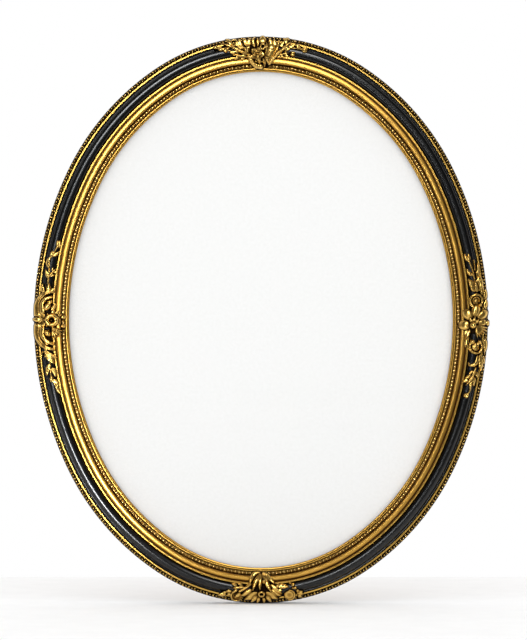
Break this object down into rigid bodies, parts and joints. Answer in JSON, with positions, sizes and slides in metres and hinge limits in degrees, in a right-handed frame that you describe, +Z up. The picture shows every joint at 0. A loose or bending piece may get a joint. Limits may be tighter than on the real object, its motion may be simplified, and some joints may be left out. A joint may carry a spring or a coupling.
{
  "type": "oval picture frame",
  "caption": "Oval picture frame: black and gilt moulding with applied leaf ornament, glass, card and backing board, turn buttons and hinged hanging rings.",
  "frame": {"origin": "centre of the oval in the wall plane, which is the back of the wall bumpers", "axes": "+Z up, +X to the right as seen from the front, +Y back into the wall; the picture faces -Y"},
  "size_m": [0.4132, 0.0271, 0.513],
  "materials": {
    "black_lacquer": "ebonised wood under gloss black lacquer",
    "dowel_wood": "plain hardwood",
    "gilt_moulding": "gilded wood with dark toning in the hollows",
    "gilt_strip": "pressed composition, gilded and toned",
    "gilt_ornament": "pressed composition, gilded and toned",
    "clear_glass": "clear picture glass",
    "white_card": "plain white card",
    "hardboard": "smooth hardboard",
    "button_steel": "plated sheet steel",
    "screw_brass": "plain brass",
    "hanger_steel": "plated steel",
    "bumper_rubber": "soft black rubber"
  },
  "bodies": {
    "frame": {"backing_board": "hardboard", "base_cartouche": "gilt_ornament", "base_spray_left": "gilt_ornament", "base_spray_right": "gilt_ornament", "crest_cartouche": "gilt_ornament", "crest_spray_left": "gilt_ornament", "crest_spray_right": "gilt_ornament", "gilt_slip": "gilt_moulding", "glass_pane": "clear_glass", "hanger_screws": "screw_brass", "hanger_strap_left": "hanger_steel", "hanger_strap_right": "hanger_steel", "joint_dowels": "dowel_wood", "left_flower": "gilt_ornament", "left_scroll_lower": "gilt_ornament", "left_scroll_upper": "gilt_ornament", "left_sprig_lower": "gilt_ornament", "left_sprig_upper": "gilt_ornament", "outer_leaf_strip": "gilt_strip", "picture_card": "white_card", "rail_lower_left": "black_lacquer", "rail_lower_right": "black_lacquer", "rail_upper_left": "black_lacquer", "rail_upper_right": "black_lacquer", "right_flower": "gilt_ornament", "right_scroll_lower": "gilt_ornament", "right_scroll_upper": "gilt_ornament", "right_sprig_lower": "gilt_ornament", "right_sprig_upper": "gilt_ornament", "sight_bead_strip": "gilt_strip", "turn_button_screws": "screw_brass", "wall_bumpers": "bumper_rubber"},
    "turn_button_1": {"turn_button_1": "button_steel"},
    "turn_button_2": {"turn_button_2": "button_steel"},
    "turn_button_3": {"turn_button_3": "button_steel"},
    "turn_button_4": {"turn_button_4": "button_steel"},
    "turn_button_5": {"turn_button_5": "button_steel"},
    "turn_button_6": {"turn_button_6": "button_steel"},
    "hanger_ring_left": {"hanger_ring_left": "hanger_steel"},
    "hanger_ring_right": {"hanger_ring_right": "hanger_steel"}
  },
  "joints": [
    {"name": "turn_button_1_turn", "type": "hinge", "parent": "frame", "child": "turn_button_1", "pos_m": [0.18575, -0.0043, 0], "axis": [0, 1, 0], "continuous": true},
    {"name": "turn_button_2_turn", "type": "hinge", "parent": "frame", "child": "turn_button_2", "pos_m": [0.0753, -0.0043, 0.21638], "axis": [0, 1, 0], "continuous": true},
    {"name": "turn_button_3_turn", "type": "hinge", "parent": "frame", "child": "turn_button_3", "pos_m": [-0.0753, -0.0043, 0.21638], "axis": [0, 1, 0], "continuous": true},
    {"name": "turn_button_4_turn", "type": "hinge", "parent": "frame", "child": "turn_button_4", "pos_m": [-0.18575, -0.0043, 0], "axis": [0, 1, 0], "continuous": true},
    {"name": "turn_button_5_turn", "type": "hinge", "parent": "frame", "child": "turn_button_5", "pos_m": [-0.0753, -0.0043, -0.21638], "axis": [0, 1, 0], "continuous": true},
    {"name": "turn_button_6_turn", "type": "hinge", "parent": "frame", "child": "turn_button_6", "pos_m": [0.0753, -0.0043, -0.21638], "axis": [0, 1, 0], "continuous": true},
    {"name": "hanger_ring_right_swing", "type": "hinge", "parent": "frame", "child": "hanger_ring_right", "pos_m": [0.17896, -0.00257, 0.08177], "axis": [0.2756, 0, -0.9613], "range_deg": [0, 160]},
    {"name": "hanger_ring_left_swing", "type": "hinge", "parent": "frame", "child": "hanger_ring_left", "pos_m": [-0.17896, -0.00257, 0.08177], "axis": [0.2756, 0, 0.9613], "range_deg": [0, 160]}
  ]
}
